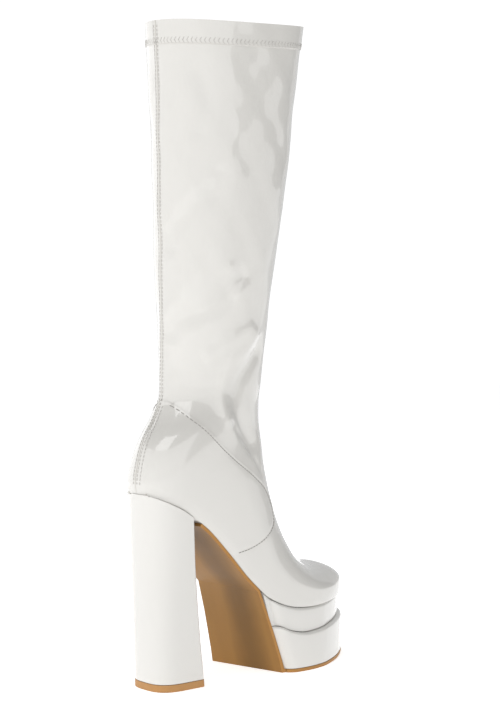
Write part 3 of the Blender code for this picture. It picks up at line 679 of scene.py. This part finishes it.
def distance_to_line(points, line):
    """Distance of each point to a line of points, in as many dimensions as they have."""
    best = np.full(len(points), 1e9)
    share = np.zeros(len(points))
    run = run_along(line)
    for k, (a, b) in enumerate(zip(line[:-1], line[1:])):
        ab = b - a
        t = np.clip((points - a) @ ab / max(ab @ ab, 1e-9), 0.0, 1.0)
        away = np.linalg.norm(points - (a + t[:, None] * ab), axis=1)
        nearer = away < best
        best = np.where(nearer, away, best)
        share = np.where(nearer, run[k] + t * (run[k + 1] - run[k]), share)
    return best, share, run[-1]


def bed_height(along):
    knots = np.linspace(knot_of("toe_front"), knot_of("heel_corner"), 300)
    bed = sections_at(knots)
    order = np.argsort(bed["back_along"])
    return np.interp(along, bed["back_along"][order], bed["back_z"][order])


def quarter_front():
    """The quarter's edge as a smooth line in the side view."""
    edge = table(QUARTER_EDGE)
    run = run_along(edge)
    return smooth(run, edge, np.linspace(run[0], run[-1], 90))


def quarter_outline():
    """The quarter in the side view, closed below the feather edge and behind the heel."""
    front = quarter_front()
    under = np.linspace(front[-1, 0] - 4.0, -1.0, 24)
    under = np.stack([under, bed_height(under) - 4.0], axis=1)
    return np.vstack([front, under, [[-20.0, under[-1, 1]]]])


def step_up(value, width):
    t = np.clip(value / width + 0.5, 0.0, 1.0)
    return t * t * (3 - 2 * t)


def shaft_waves(places):
    """Soft waves that grow from the ankle up, strongest where the stretch leather hangs free."""
    rows = sections_at(np.array([knot_of("calf")]))
    axis_out, axis_along = rows["front_out"][0] * WAVE_AXIS, rows["front_along"][0] * WAVE_AXIS
    angle = np.arctan2(places[:, 1] - axis_out, places[:, 0] - axis_along)
    lift = np.zeros(len(places))
    for height, length, around, start in WAVES.values():
        lift += height * np.sin(2 * math.pi * places[:, 2] / length + around * angle + start)
    return lift * np.clip((places[:, 2] - WAVES_START) / (WAVES_FULL - WAVES_START), 0.0, 1.0)


def folds(places):
    """How far each place of the upper stands out by its folds and waves."""
    lift = shaft_waves(places)
    for depth, width, path in FOLDS.values():
        path = np.array(path, float)
        run = run_along(path)
        path = smooth(run, path, np.linspace(0.0, run[-1], FOLD_POINTS))
        away, share, length = distance_to_line(places, path)
        ends = np.minimum(share, length - share) / FOLD_TAPER
        taper = FOLD_END + (1 - FOLD_END) * step_up(np.clip(ends, 0.0, 1.0) - 0.5, 1.0)
        lift += depth * taper * np.exp(-((away / width) ** 2))
    return lift


def back_seam(places):
    """Relief of the seam up the back, and how much painted seam shadow each place takes."""
    back = sections_at(np.linspace(knot_of("heel_corner"), SECTION_KNOTS[-1], 90))["low"]
    away, _, _ = distance_to_line(places, back)
    ridge, place, width = BACK_SEAM_RIDGE
    groove, groove_width = BACK_SEAM_GROOVE
    line_width, strength = BACK_SEAM_SHADOW
    lift = ridge * np.exp(-(((away - place) / width) ** 2)) - groove * np.exp(-((away / groove_width) ** 2))
    fade = np.clip((places[:, 2] - BACK_SEAM_START) / BACK_SEAM_FADE, 0.0, 1.0)
    # Painted shadow: a dark line down the back seam, passed on for the patent's colour.
    seam_shadow = strength * np.exp(-((away / line_width) ** 2))
    return fade * lift, np.where(places[:, 2] > BACK_SEAM_START, seam_shadow, 0.0)


def hem_height(places):
    """Height above the hem's lower edge, which dips on the outer side with the collar."""
    row = {name: values[0] for name, values in sections_at(np.array([HEM_KNOT])).items()}
    across = across_section(row["twist"])
    middle = (row["low"] + row["top"]) / 2
    outward = np.clip((places - middle) @ across / row["outer"], 0.0, 1.0)
    dip = COLLAR_DIP * collar_share(HEM_KNOT)**2 * outward**2
    return places[:, 2] - (BOOT_HEIGHT - HEM_BAND) + dip


def inside_outline(points, outline):
    """Which points of the side view lie inside a closed outline."""
    x, y = points[:, 0], points[:, 1]
    found = np.zeros(len(points), bool)
    for a, b in zip(outline, np.roll(outline, -1, axis=0)):
        crosses = (a[1] > y) != (b[1] > y)
        reach = (b[0] - a[0]) * (y - a[1]) / (b[1] - a[1] + 1e-12) + a[0]
        found ^= crosses & (x < reach)
    return found


def clipped_sheet(name, grid, measure):
    """The open sheet of a grid where the measure is above zero, cut straight across its cells."""
    row_count, column_count = grid.shape[:2]
    points, faces = [], []
    for i in range(row_count - 1):
        for j in range(column_count - 1):
            corners = [(i, j), (i, j + 1), (i + 1, j + 1), (i + 1, j)]
            if max(measure[corner] for corner in corners) <= 0.0:
                continue
            outline = []
            for a, b in zip(corners, corners[1:] + corners[:1]):
                if measure[a] > 0.0:
                    outline.append(grid[a])
                if (measure[a] > 0.0) != (measure[b] > 0.0):
                    share = measure[a] / (measure[a] - measure[b])
                    outline.append(grid[a] + share * (grid[b] - grid[a]))
            faces.append(tuple(range(len(points), len(points) + len(outline))))
            points.extend(outline)
    return mesh_piece(name, points, faces, PATENT, closed=False)


def vertex_values(mesh, name):
    values = np.empty(len(mesh.vertices) * 3)
    mesh.vertices.foreach_get(name, values)
    return values.reshape(-1, 3)


def pushed(piece, lift, seam_shadow):
    """Moves each point out by its lift, in millimetres, and keeps how much painted seam shadow it takes."""
    mesh = piece.data
    places = vertex_values(mesh, "co") + vertex_values(mesh, "normal") * (lift * MM)[:, None]
    mesh.vertices.foreach_set("co", places.ravel())
    values = np.clip(seam_shadow, 0.0, 1.0).astype(np.float32)
    mesh.attributes.new("seam_shadow", "FLOAT", "POINT").data.foreach_set("value", values)
    mesh.update()


def walled(piece, thickness, inner_material=0):
    """Gives the sheet its wall and makes it one plain mesh."""
    wall = piece.modifiers.new("wall", "SOLIDIFY")
    wall.thickness = thickness * MM
    wall.offset = -1.0
    wall.material_offset = inner_material
    applied(piece)
    smooth_faces(piece, 42)
    return piece


def slot_measure(places):
    """How far each place is outside the zip's slot: above zero on the leather."""
    line = zip_line(places[:, 2])
    across = np.abs(places[:, 0] - line[:, 0]) - ZIP_SLOT / 2
    return np.maximum(np.maximum(across, ZIP_BOTTOM - places[:, 2]), places[:, 1] - line[:, 1] - ZIP_SLOT)


def build_upper(grid):
    """The upper with its folds, hem, back seam and the zip's slot."""
    measure = slot_measure(grid.reshape(-1, 3)).reshape(grid.shape[:2])
    upper = clipped_sheet("boot_upper", grid, measure)
    places = to_boot(vertex_values(upper.data, "co"))
    lift, seam_shadow = back_seam(places)
    hem = hem_height(places)
    lift += folds(places) + HEM_STEP * step_up(hem, HEM_STEP_WIDTH)
    # Painted shadow: a dark line along the hem's lower edge, added to the seam shadow.
    line_width, strength = HEM_SHADOW
    seam_shadow += strength * np.exp(-((hem / line_width) ** 2))
    pushed(upper, lift, seam_shadow)
    upper.data.materials.append(LINING)
    return finished(walled(upper, WALL, 1), "patent", "upper")


def build_quarter(grid):
    """The quarter and counter as one raised sheet cut from the upper's own surface."""
    inside = (UPPER_KNOTS > knot_of("joint")) & (UPPER_KNOTS < knot_of("shin"))
    grid = grid[inside, 1:-1]
    side_view = grid.reshape(-1, 3)[:, [0, 2]]
    away, _, _ = distance_to_line(side_view, quarter_front())
    measure = np.where(inside_outline(side_view, quarter_outline()), away, -away)
    quarter = clipped_sheet("boot_quarter", grid, measure.reshape(grid.shape[:2]))
    places = to_boot(vertex_values(quarter.data, "co"))
    lift, seam_shadow = back_seam(places)
    away, _, _ = distance_to_line(places[:, [0, 2]], quarter_front())
    above_feather = (places[:, 2] - bed_height(places[:, 0])) / QUARTER_FULL
    lift += folds(places) + QUARTER_STEP * np.clip(above_feather, QUARTER_LEAST, 1.0)
    groove, groove_width = STITCH_GROOVE
    lift -= groove * np.exp(-(((away - STITCH_INSET) / groove_width) ** 2))
    pushed(quarter, lift, seam_shadow)
    return finished(walled(quarter, 2 * QUARTER_STEP), "patent")


def zip_line(heights):
    """Where the zip's middle lies on the upper's inner side, as rows of (along, out, z)."""
    grid = upper_grid(np.linspace(knot_of("counter_low"), SECTION_KNOTS[-1], 80), EVEN_SHARES)
    edge = np.array([row[np.argmin(row[:, 1])] for row in grid])
    edge = edge[np.argsort(edge[:, 2])]
    along = np.polyval(np.polyfit(edge[:, 2], edge[:, 0], 3), heights)
    return np.stack([along, np.interp(heights, edge[:, 2], edge[:, 1]), heights], axis=1)


def ring_piece(name, rings, material):
    """A closed piece between stacked rings, each an outer and an inner line paired point to point."""
    count = len(rings[0][0])
    around = 2 * count
    points = [p for outer, inner in rings for p in (*outer, *inner[::-1])]
    faces = []
    for level in range(len(rings) - 1):
        for j in range(around):
            a = level * around + j
            b = level * around + (j + 1) % around
            faces.append((a, b, b + around, a + around))
    for start in (0, (len(rings) - 1) * around):
        for j in range(count - 1):
            faces.append((start + j, start + j + 1, start + around - 2 - j, start + around - 1 - j))
    return mesh_piece(name, points, faces, material)


def platform_ring(inset, height, count=PLATFORM_STATIONS):
    """Outer and inner edge of the platform, moved in by inset, with heights from height(along)."""
    knots = np.arange(len(PLATFORM_OUTLINE))
    values = smooth(knots, table(PLATFORM_OUTLINE), np.linspace(0, knots[-1], count))
    outer, inner = values[:, :2], values[:, 2:]
    loop = np.vstack([outer, inner[-2:0:-1]])
    direction = np.roll(loop, -1, axis=0) - np.roll(loop, 1, axis=0)
    direction /= np.maximum(np.linalg.norm(direction, axis=1, keepdims=True), 1e-9)
    inward = np.stack([direction[:, 1], -direction[:, 0]], axis=1)
    inward[:BACK_STATIONS, 0] = 0.0
    inward[len(loop) - BACK_STATIONS + 1:, 0] = 0.0
    loop = loop + inset * inward
    outer = loop[:count]
    inner = np.vstack([loop[:1], loop[:count - 2:-1]])
    slope = table(PLATFORM_SLOPE)
    corner = BACK_STATIONS - 1
    lines = []
    for line in (outer, inner):
        share = np.interp(line[:, 1], [inner[corner, 1], outer[corner, 1]], [INNER_SLOPE, 1.0])
        z = height(line[:, 0])
        for _ in range(4):
            back = share * (np.interp(z, slope[:, 0], slope[:, 1]) - slope[0, 1])
            fade = np.clip((SLOPE_FADE_END - line[:, 0]) / SLOPE_FADE_LENGTH, 0.0, 1.0)
            moved = line[:, 0] + back * fade**SLOPE_FADE_POWER
            z = height(moved)
        lines.append(np.stack([moved, line[:, 1], z], axis=1))
    return tuple(lines)


def tread_height(along):
    return read(TREAD_RISE, along)


def tier_height(along):
    return read(TIER_LINE, along)


def rounded_foot(radius, count):
    """Rows of (share of height, inset, lift) for an edge rounded at its foot."""
    turns = np.linspace(0.0, math.pi / 2, count + 1)
    return [(0.0, radius * (1 - math.sin(turn)), radius * (1 - math.cos(turn))) for turn in turns]


def rounded_steps(low_radius, top_radius, count=5):
    """The same for an edge rounded at its foot and its top."""
    top = [(1.0, inset, -lift) for _, inset, lift in rounded_foot(top_radius, count)[::-1]]
    return rounded_foot(low_radius, count) + top


def build_tier(name, node, inset, low, high):
    rings = []
    for share, extra, lift in rounded_steps(*TIER_EDGES):
        def height(along, share=share, lift=lift):
            return low(along) * (1 - share) + high(along) * share + lift
        rings.append(platform_ring(inset + extra, height))
    tier = ring_piece(name, rings, PATENT_COVER)
    smooth_faces(tier, 50)
    return finished(tier, "patent_cover", node)


def heel_half(back, breast, half, square):
    """Half of the heel's outline from the middle of its back to the middle of its breast."""
    turn = np.linspace(0.0, math.pi / 2, HEEL_STATIONS)
    along = back + half * (1 - np.cos(turn) ** (2 / square))
    reach = half * np.sin(turn) ** (2 / square)
    side = half * BREAST_WIDTH
    bend = np.linspace(0.0, math.pi / 2, 8)
    along = np.concatenate([along, breast - HEEL_CORNER + HEEL_CORNER * np.sin(bend), [breast]])
    reach = np.concatenate([reach, side - HEEL_CORNER + HEEL_CORNER * np.cos(bend), [0.0]])
    return along, reach


def build_heel(name, node, slot, material, z_low, z_high, radius, seat, levels):
    """A length of the block heel, rounded at its foot, with its top flat or cut to the foot's seat."""
    values = table(HEEL_LEVELS)
    shares = rounded_foot(radius, 4)
    shares += [(share, 0.0, 0.0) for share in np.linspace(0.03, 1.0, levels)]
    rings = []
    for share, inset, lift in shares:
        z = z_low + (z_high - z_low) * share + lift
        back, breast, middle, half, square = smooth(values[:, 0], values[:, 1:], [z])[0]
        along, reach = heel_half(back + inset, breast - inset, half - inset, square)
        turn_out = math.sin(math.radians(HEEL_TURN))
        sides = []
        for side in (1, -1):
            forward = along - side * reach * turn_out
            top = bed_height(forward) - SEAT_GAP if seat else np.full(len(along), z_high)
            z_line = z_low + share * (top - z_low) + lift
            sides.append(np.stack([forward, middle + side * reach + along * turn_out, z_line], axis=1))
        rings.append(tuple(sides))
    heel = ring_piece(name, rings, material)
    smooth_faces(heel, 40)
    return finished(heel, slot, node)


def offset_line(line, distance):
    direction = np.gradient(line, axis=0)
    direction /= np.linalg.norm(direction, axis=1, keepdims=True)
    return line + distance * np.stack([-direction[:, 1], direction[:, 0]], axis=1)


def sections_along(along):
    knots = np.linspace(knot_of("toe_front"), knot_of("heel_corner"), 400)
    forward = smooth(SECTION_KNOTS, SECTION_VALUES[:, :1], knots)[:, 0]
    return sections_at(np.interp(-np.asarray(along), -forward, knots))


def build_outsole():
    """The tan sheet under the waist, down the back of the platform and along the tread."""
    bed = sections_along(np.linspace(SHANK_START, SHANK_END, SHANK_STATIONS))
    line = np.stack([bed["back_along"], bed["back_z"]], axis=1)
    slope = table(PLATFORM_SLOPE)[::-1]
    corner = BACK_STATIONS - 1
    faces = [platform_ring(0.0, lambda a, z=z: np.full(len(a), z)) for z in slope[1:-1, 0]]
    tread = platform_ring(0.0, lambda a: tread_height(a) + SOLE_THICKNESS)
    rings = []
    for drop in (SOLE_THICKNESS, 0.0):
        sides = []
        for number, side in ((0, 1), (1, -1)):
            moved = offset_line(line, -(BED_GAP + drop))
            reach = bed["back_out"] + side * (bed["feather"] + SOLE_LEDGE)
            waist = np.stack([moved[:, 0], reach, moved[:, 1]], axis=1)
            down = np.array([face[number][corner] for face in faces])
            down += np.array([-SLOPE_GAP - SLOPE_NORMAL[0] * drop, 0.0, -SLOPE_NORMAL[1] * drop])
            flat = tread[number][corner:].copy()
            flat[:, 2] -= drop
            flat[0, 0] -= SLOPE_NORMAL[0] * drop + SLOPE_GAP
            sides.append(np.vstack([waist, down, flat]))
        rings.append(tuple(sides))
    sole = ring_piece("boot_sole", rings, SOLE_TAN)
    sole.data.materials.append(SOLE_EDGE)
    # The sheet's cut edge faces sideways, and forward round the toe
    for face in sole.data.polygons:
        at_toe = abs(face.normal.z) < 0.3 and face.center.y < -0.02
        face.material_index = int(abs(face.normal.x) > 0.5 or at_toe)
    smooth_faces(sole, 60)
    return finished(sole, "tan_sole", "outsole")


def stitch_tree():
    """Geometry nodes that turn each loose edge into one short rounded stitch."""
    tree = bpy.data.node_groups.new("stitches", "GeometryNodeTree")
    for name, way, kind in (
        ("Geometry", "INPUT", "Geometry"), ("Thread radius", "INPUT", "Float"),
        ("Thread", "INPUT", "Material"), ("Geometry", "OUTPUT", "Geometry"),
    ):
        tree.interface.new_socket(name, in_out=way, socket_type="NodeSocket" + kind)
    new = tree.nodes.new
    source, sink = new("NodeGroupInput"), new("NodeGroupOutput")
    curve, circle = new("GeometryNodeMeshToCurve"), new("GeometryNodeCurvePrimitiveCircle")
    circle.inputs["Resolution"].default_value = 6
    tube = new("GeometryNodeCurveToMesh")
    tube.inputs["Fill Caps"].default_value = True
    realize, finish = new("GeometryNodeRealizeInstances"), new("GeometryNodeSetMaterial")
    for start, given, end, taken in (
        (source, "Geometry", curve, "Mesh"), (source, "Thread radius", circle, "Radius"),
        (curve, "Curve", tube, "Curve"), (circle, "Curve", tube, "Profile Curve"),
        (tube, "Mesh", realize, "Geometry"), (realize, "Geometry", finish, "Geometry"),
        (source, "Thread", finish, "Material"), (finish, "Geometry", sink, "Geometry"),
    ):
        tree.links.new(start.outputs[given], end.inputs[taken])
    return tree


STITCHES = stitch_tree()


def stitch_piece(name, ends, radius, material, slot):
    """Stitches between pairs of places, as one mesh."""
    points = to_world(np.array(ends).reshape(-1, 3))
    mesh = bpy.data.meshes.new(name)
    mesh.from_pydata(points.tolist(), [(2 * i, 2 * i + 1) for i in range(len(points) // 2)], [])
    piece = linked(name, mesh)
    modifier = piece.modifiers.new("stitches", "NODES")
    modifier.node_group = STITCHES
    sockets = {s.name: s.identifier for s in STITCHES.interface.items_tree if s.in_out == "INPUT"}
    modifier[sockets["Thread radius"]] = radius * MM
    modifier[sockets["Thread"]] = material
    applied(piece)
    piece.data.shade_smooth()
    return finished(piece, slot)


class Skin:
    """Finds places on the finished upper, a little above its surface."""

    def __init__(self, pieces):
        graph = bpy.context.evaluated_depsgraph_get()
        self.trees = [BVHTree.FromObject(piece, graph) for piece in pieces]

    def seen(self, place, direction, rise=STITCH_RISE):
        """The first place of the skin met from outside along a direction of the boot's own axes."""
        aim = Vector((-direction[1], -direction[0], direction[2])).normalized()
        start = Vector(to_world(place)) - aim * 0.15
        hits = [tree.ray_cast(start, aim) for tree in self.trees]
        hits = [hit for hit in hits if hit[0] is not None]
        if not hits:
            return None
        found, normal, _, _ = min(hits, key=lambda hit: hit[3])
        return to_boot(np.array(found + normal * rise * MM))


def stepped(line, pitch):
    """Places one pitch apart along a line of places."""
    line = np.array(line, float)
    run = run_along(line)
    at = np.arange(0.0, run[-1], pitch)
    return np.stack([np.interp(at, run, line[:, k]) for k in range(line.shape[1])], axis=1)


def complete(pairs):
    """The pairs of places that were both found on the skin."""
    return [pair for pair in pairs if all(place is not None for place in pair)]


def stitch_row(skin, line, pitch, direction):
    """Stitches a pitch apart along a line, each laid on the skin as seen along the direction."""
    at = stepped(line, pitch)
    pairs = []
    for a, b in zip(at[:-1], at[1:]):
        pairs.append(tuple(skin.seen(a + share * (b - a), direction) for share in STITCH_SHARES))
    return complete(pairs)


def build_stitches(pieces):
    skin = Skin(pieces)
    edge = offset_line(quarter_front(), -STITCH_INSET)
    edge = edge[edge[:, 0] > QUARTER_ROW_START]
    edge = np.stack([edge[:, 0], np.full(len(edge), QUARTER_ROW_OUT), edge[:, 1]], axis=1)
    ends = []
    for side in (1, -1):
        ends += stitch_row(skin, edge, QUARTER_PITCH, (0.0, -side, 0.0))
    stitch_piece("quarter_stitches", ends, THREAD_RADIUS, SEAM_THREAD, "patent")

    back = sections_at(np.linspace(knot_of("heel_back"), SECTION_KNOTS[-1] - 4.0, 160))["low"]
    ends = []
    for shift in BACK_ROWS:
        ends += stitch_row(skin, back + np.array([0.0, shift, 0.0]), BACK_PITCH, (1.0, 0.0, 0.0))
    counter = back[back[:, 2] < COUNTER_TOP] + np.array([0.0, COUNTER_ROW, 0.0])
    ends += stitch_row(skin, counter, BACK_PITCH, (1.0, 0.0, 0.0))
    stitch_piece("back_seam_stitches", ends, HEM_THREAD_RADIUS, HEM_THREAD, "patent")

    ends = []
    for level, tilt in HEM_ROWS.values():
        ends += hem_stitches(skin, level, tilt)
    stitch_piece("hem_stitches", ends, HEM_THREAD_RADIUS, HEM_THREAD, "patent")


def hem_stitches(skin, level, tilt):
    """Slanted stitches round the collar, at a level above the hem's edge."""
    ring = upper_grid(np.array([HEM_KNOT + level]), np.linspace(0.0, 1.0, 200))[0]
    ring = stepped(ring, HEM_PITCH)
    middle = ring.mean(axis=0)
    zip_middle = zip_line([ring[:, 2].mean()])[0]
    pairs = []
    for place in ring:
        if np.linalg.norm(place[:2] - zip_middle[:2]) < HEM_ZIP_GAP:
            continue
        outward = place - middle
        outward[2] = 0.0
        outward /= np.linalg.norm(outward)
        around = np.array([-outward[1], outward[0], 0.0]) * HEM_STITCH_HALF * np.sign(tilt)
        half = around + np.array([0.0, 0.0, abs(tilt)])
        pairs.append(tuple(skin.seen(at, -outward, HEM_STITCH_RISE) for at in (place - half, place + half)))
    return complete(pairs)


def build_zip_teeth():
    """Coil teeth along the closed zip, above the tape, up to the slider."""
    line = zip_line(np.linspace(ZIP_BOTTOM + TEETH_START, SLIDER_HEIGHT - TEETH_END, 200))
    ends = []
    for k, place in enumerate(stepped(line, TOOTH_PITCH)):
        for side in (-1, 1):
            slant = TOOTH_SLANT * side * (k % 2 - 0.5)
            start = place + np.array([side * TOOTH_REACH, -TOOTH_SINK, slant])
            ends.append((start, place + np.array([-side * TOOTH_OVERLAP, -TOOTH_SINK, 0.0])))
    return stitch_piece("zip_teeth", ends, TOOTH_RADIUS, TEETH_NYLON, "zip_cloth")


def dress_node(node, material, angle=35):
    """A solid whose shape is right keeps it and takes its finish."""
    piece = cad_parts[node]
    piece.data.materials.clear()
    piece.data.materials.append(material)
    smooth_faces(piece, angle)


def stage_plane(name, points, faces, material):
    mesh = bpy.data.meshes.new(name)
    mesh.from_pydata(points, [], faces)
    mesh.materials.append(material)
    plane = linked(name, mesh)
    return plane


def panel(view, right, turns, reach, heights):
    """Points and faces of an upright panel bent round the boot, from one turn to another."""
    points = []
    for turn in np.radians(np.linspace(*turns, PANEL_COLUMNS)):
        side = (-view * math.cos(turn) + right * math.sin(turn)) * reach
        points += [(side.x, side.y, height) for height in heights]
    faces = [(2 * i, 2 * i + 1, 2 * i + 3, 2 * i + 2) for i in range(PANEL_COLUMNS - 1)]
    return points, faces


def build_studio():
    """White studio: dim even light, a white wall all round and curved light panels near the boot."""
    scene = bpy.context.scene
    world = bpy.data.worlds.new("studio")
    world.use_nodes = True
    background = world.node_tree.nodes["Background"]
    background.inputs["Color"].default_value = (1.0, 1.0, 1.0, 1.0)
    background.inputs["Strength"].default_value = WORLD_LIGHT
    scene.world = world
    scene.view_settings.view_transform = "Standard"

    floor = Finish("studio_floor", Base_Color=(0.85, 0.85, 0.85), Roughness=0.9)
    floor.use(Emission_Color=(1.0, 1.0, 1.0), Emission_Strength=FLOOR_GLOW)
    corners = [(-1, -1), (1, -1), (1, 1), (-1, 1)]
    corners = [(x * FLOOR_REACH, y * FLOOR_REACH, 0.0) for x, y in corners]
    stage_plane("floor", corners, [(0, 1, 2, 3)], floor.material)

    view = Vector(CAMERA_TARGET) - Vector(CAMERA_PLACE)
    view.z = 0.0
    view.normalize()
    right = Vector((view.y, -view.x, 0.0))
    points, faces = panel(view, right, (0.0, 360.0), WALL_REACH, (0.0, WALL_HEIGHT))
    backdrop = stage_plane("backdrop", points, faces, glow_finish("backdrop_white", WALL_GLOW))
    backdrop.visible_glossy = False
    backdrop.visible_diffuse = False

    for name, (start, end, low, high, light) in SOFTBOXES.items():
        points, faces = panel(view, right, (start, end), SOFTBOX_REACH, (low, high))
        stage_plane(name, points, faces, glow_finish(name, light)).visible_camera = False


def build_camera():
    data = bpy.data.cameras.new("camera")
    data.lens = CAMERA_LENS
    camera = linked("camera", data)
    camera.location = CAMERA_PLACE
    aim = Vector(CAMERA_TARGET) - Vector(CAMERA_PLACE)
    camera.rotation_euler = aim.to_track_quat("-Z", "Y").to_euler()
    bpy.context.scene.camera = camera


def build():
    grid = eased(upper_grid(UPPER_KNOTS, SIDE_SHARES), UPPER_KNOTS)
    build_stitches((build_upper(grid), build_quarter(grid)))
    build_tier(
        "boot_bottom_tier", "platform_bottom_tier", 0.0,
        lambda a: tread_height(a) + SOLE_THICKNESS + GAP, lambda a: tier_height(a) - GAP / 2,
    )
    build_tier(
        "boot_top_tier", "platform_top_tier", TIER_LEDGE,
        lambda a: tier_height(a) + GAP / 2, lambda a: bed_height(a) - BED_GAP,
    )
    build_outsole()
    build_heel(
        "boot_heel", "heel", "patent_cover", PATENT_COVER,
        TOP_PIECE_THICKNESS + GAP, HEEL_TOP, HEEL_EDGE, seat=True, levels=40,
    )
    build_heel(
        "boot_top_piece", "top_piece", "tan_top_piece", TOP_PIECE_TAN,
        0.0, TOP_PIECE_THICKNESS, TOP_PIECE_EDGE, seat=False, levels=3,
    )
    build_zip_teeth()
    dress_node("insole", INSOLE_CLOTH)
    dress_node("zip_tape", TAPE_CLOTH)
    dress_node("zip_slider", GUNMETAL)
    dress_node("zip_pull", GUNMETAL)
    build_studio()
    build_camera()


build()
